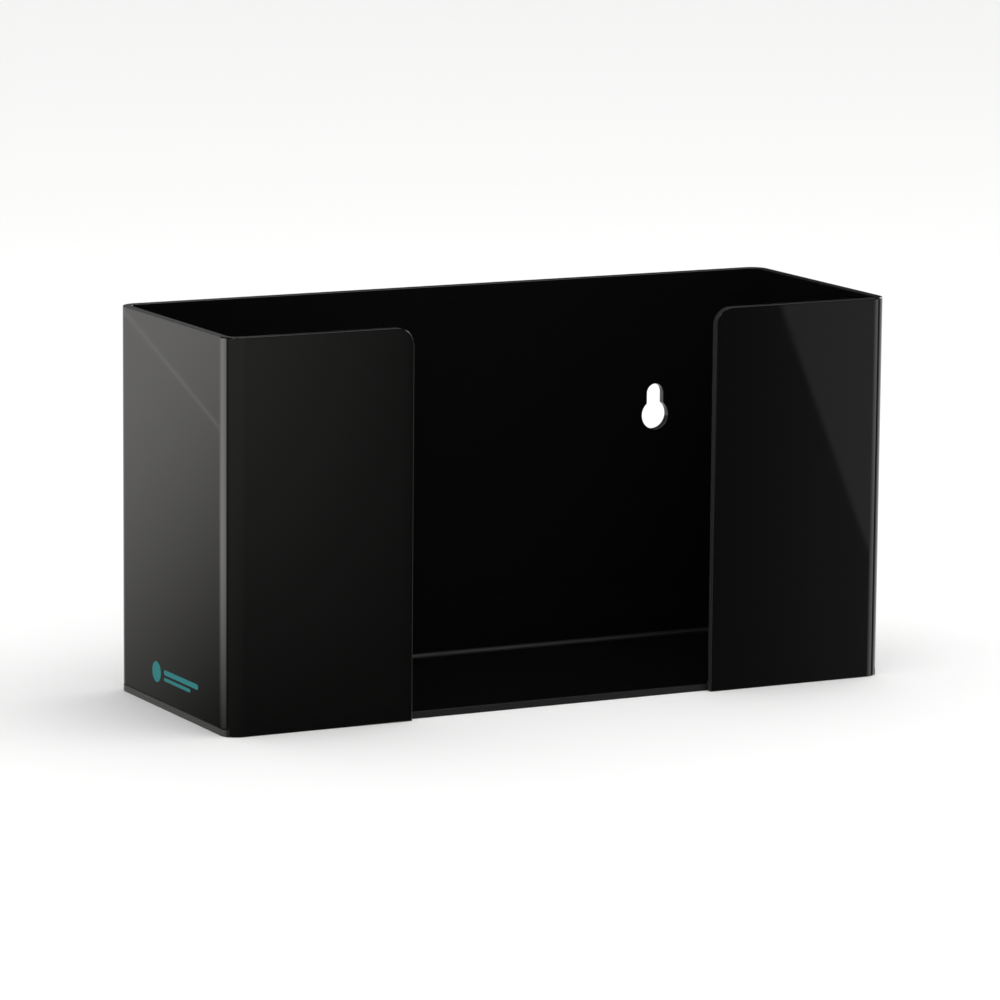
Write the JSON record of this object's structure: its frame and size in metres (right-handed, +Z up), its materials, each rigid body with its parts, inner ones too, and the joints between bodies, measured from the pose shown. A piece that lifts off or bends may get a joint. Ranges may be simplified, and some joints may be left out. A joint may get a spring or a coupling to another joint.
{
  "type": "disposable glove dispenser",
  "caption": "Open-topped holder for a box of disposable gloves: a bent black acrylic sheet with an open front, on a cemented base plate, with keyholes in its back for wall screws.",
  "frame": {"origin": "centre of the footprint, on the surface that the dispenser stands on, at the underside of the base plate", "axes": "+X along the width, to the right of a person facing the open front; +Y into the wall, out of the keyholed back; +Z up"},
  "size_m": [0.254, 0.092, 0.135],
  "materials": {
    "black_acrylic": "gloss"
  },
  "bodies": {
    "root": {"body_sheet": "black_acrylic", "base_plate": "black_acrylic"}
  },
  "joints": []
}
